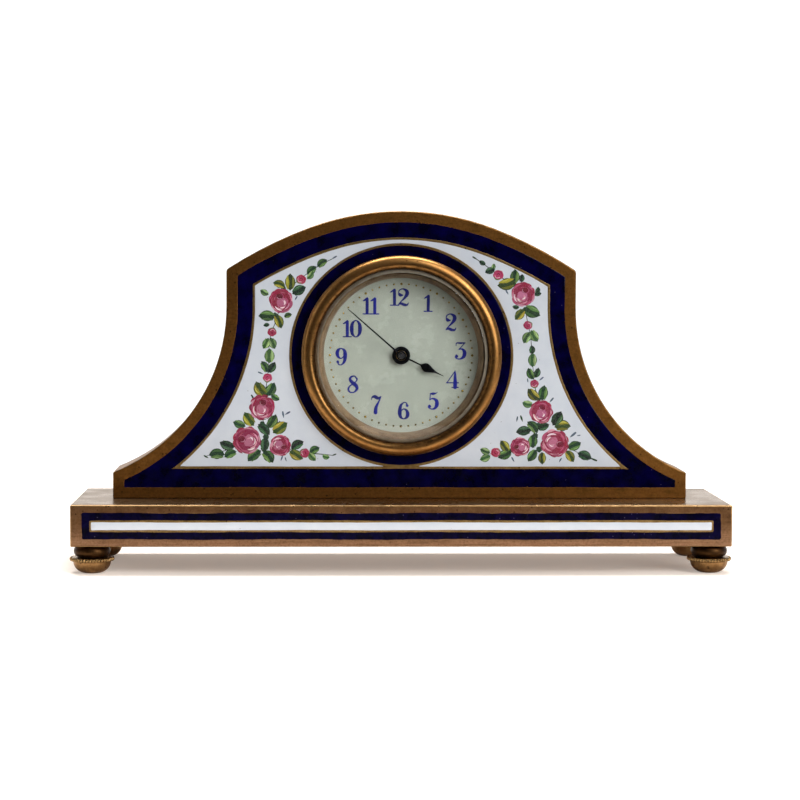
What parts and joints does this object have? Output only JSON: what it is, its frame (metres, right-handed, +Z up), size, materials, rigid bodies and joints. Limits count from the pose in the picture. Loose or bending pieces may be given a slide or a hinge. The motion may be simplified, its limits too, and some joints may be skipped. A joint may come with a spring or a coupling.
{
  "type": "table clock",
  "caption": "Miniature table clock: arched enamelled case with hollow flanks on a low footed plinth, round bezel and dial, hinged back door, back-wound lever movement.",
  "frame": {"origin": "on the table, under the middle of the plinth", "axes": "+X to the right of the dial, +Y to the back, +Z up"},
  "size_m": [0.125, 0.031, 0.0681],
  "materials": {
    "gilt_brass": "aged gilt over brass, satin, rubbed bright on the edges",
    "movement_brass": "plain finished brass, fine grained",
    "cobalt_enamel": "deep blue fired enamel, glossy",
    "white_enamel": "white fired enamel with painted rose garlands, glossy",
    "dial_enamel": "pale enamel dial with plain blue numerals",
    "clear_glass": "clear glass with a bevelled edge",
    "polished_steel": "polished steel",
    "blued_steel": "dark blued steel",
    "ruby": "polished synthetic ruby"
  },
  "bodies": {
    "case": {"plinth_body": "gilt_brass", "plinth_front_plate": "gilt_brass", "plinth_blue_enamel": "cobalt_enamel", "plinth_white_enamel": "white_enamel", "plinth_bottom_plate": "movement_brass", "foot_front_left": "gilt_brass", "foot_front_right": "gilt_brass", "foot_back_left": "gilt_brass", "foot_back_right": "gilt_brass", "foot_beaded_rings": "gilt_brass", "foot_collars": "gilt_brass", "case_screws": "polished_steel", "case_band": "gilt_brass", "case_front_plate": "gilt_brass", "border_blue_enamel": "cobalt_enamel", "field_white_enamel": "white_enamel", "ring_blue_enamel": "cobalt_enamel", "case_back_plate": "gilt_brass", "back_plate_screws": "polished_steel", "hinge_pin": "polished_steel", "bezel": "gilt_brass", "crystal": "clear_glass", "sight_ring": "gilt_brass", "dial": "dial_enamel", "movement_ring": "movement_brass", "ring_screws": "polished_steel", "main_plate": "movement_brass", "movement_screws": "polished_steel", "barrel_bridge": "movement_brass", "train_bridge": "movement_brass", "pallet_cock": "movement_brass", "balance_cock": "movement_brass", "bridge_screws": "polished_steel", "jewels": "ruby", "hairspring": "blued_steel", "regulator": "polished_steel", "click_spring": "polished_steel"},
    "door": {"back_door": "gilt_brass"},
    "winding": {"winding_arbor": "polished_steel", "ratchet_wheel": "polished_steel", "winding_key": "movement_brass"},
    "click_lever": {"click": "polished_steel"},
    "barrel_drum": {"barrel": "movement_brass", "barrel_cover": "movement_brass", "mainspring": "blued_steel"},
    "centre": {"centre_wheel": "movement_brass"},
    "third": {"third_wheel": "movement_brass"},
    "fourth": {"fourth_wheel": "movement_brass"},
    "escape": {"escape_wheel": "polished_steel"},
    "pallet": {"pallet_lever": "polished_steel"},
    "balance": {"balance_wheel": "movement_brass"},
    "minute": {"cannon_pinion": "polished_steel", "minute_hand": "blued_steel"},
    "minute_train": {"minute_wheel": "movement_brass"},
    "hour": {"hour_wheel": "movement_brass", "hour_hand": "blued_steel"},
    "setting": {"set_arbor": "polished_steel", "set_knob": "movement_brass"}
  },
  "joints": [
    {"name": "door_hinge", "type": "hinge", "parent": "case", "child": "door", "pos_m": [0.0189, 0.01105, 0.04055], "axis": [0, 0, -1], "range_deg": [0, 105]},
    {"name": "winding_turn", "type": "hinge", "parent": "case", "child": "winding", "pos_m": [-0.00655, 0.0048, 0.04433], "axis": [0, 1, 0], "continuous": true},
    {"name": "click_pivot", "type": "hinge", "parent": "case", "child": "click_lever", "pos_m": [-0.00212, 0.0048, 0.04743], "axis": [0, 1, 0], "range_deg": [0, 8]},
    {"name": "fourth_turn", "type": "hinge", "parent": "case", "child": "fourth", "pos_m": [0.00779, 0.0048, 0.03875], "axis": [0, 1, 0], "continuous": true},
    {"name": "escape_turn", "type": "hinge", "parent": "case", "child": "escape", "pos_m": [0.00525, 0.0048, 0.03572], "axis": [0, 1, 0], "continuous": true},
    {"name": "third_turn", "type": "hinge", "parent": "case", "child": "third", "pos_m": [0.00558, 0.0048, 0.04258], "axis": [0, 1, 0], "continuous": true},
    {"name": "centre_turn", "type": "hinge", "parent": "case", "child": "centre", "pos_m": [0, 0.0048, 0.04055], "axis": [0, 1, 0], "continuous": true},
    {"name": "barrel_turn", "type": "hinge", "parent": "case", "child": "barrel_drum", "pos_m": [-0.00655, 0.0048, 0.04433], "axis": [0, 1, 0], "continuous": true},
    {"name": "pallet_swing", "type": "hinge", "parent": "case", "child": "pallet", "pos_m": [0.00242, 0.0048, 0.03471], "axis": [0, 1, 0], "range_deg": [-5, 5]},
    {"name": "balance_swing", "type": "hinge", "parent": "case", "child": "balance", "pos_m": [-0.00191, 0.0048, 0.03316], "axis": [0, 1, 0], "range_deg": [-270, 270]},
    {"name": "setting_turn", "type": "hinge", "parent": "case", "child": "setting", "pos_m": [-0.0059, 0.0048, 0.03665], "axis": [0, 1, 0], "continuous": true},
    {"name": "minute_hand_turn", "type": "hinge", "parent": "case", "child": "minute", "pos_m": [0, 0.0048, 0.04055], "axis": [0, 1, 0], "continuous": true},
    {"name": "minute_wheel_turn", "type": "hinge", "parent": "case", "child": "minute_train", "pos_m": [-0.00257, 0.0048, 0.03803], "axis": [0, 1, 0], "continuous": true},
    {"name": "hour_hand_turn", "type": "hinge", "parent": "case", "child": "hour", "pos_m": [0, 0.0048, 0.04055], "axis": [0, 1, 0], "continuous": true}
  ],
  "couplings": [
    {"joint": "escape_turn", "follows": "fourth_turn", "ratio": -10},
    {"joint": "third_turn", "follows": "fourth_turn", "ratio": -0.13333},
    {"joint": "centre_turn", "follows": "fourth_turn", "ratio": 0.016667},
    {"joint": "barrel_turn", "follows": "fourth_turn", "ratio": -0.0027778},
    {"joint": "minute_hand_turn", "follows": "setting_turn", "ratio": 1},
    {"joint": "minute_wheel_turn", "follows": "setting_turn", "ratio": -0.33333},
    {"joint": "hour_hand_turn", "follows": "setting_turn", "ratio": 0.083333}
  ]
}
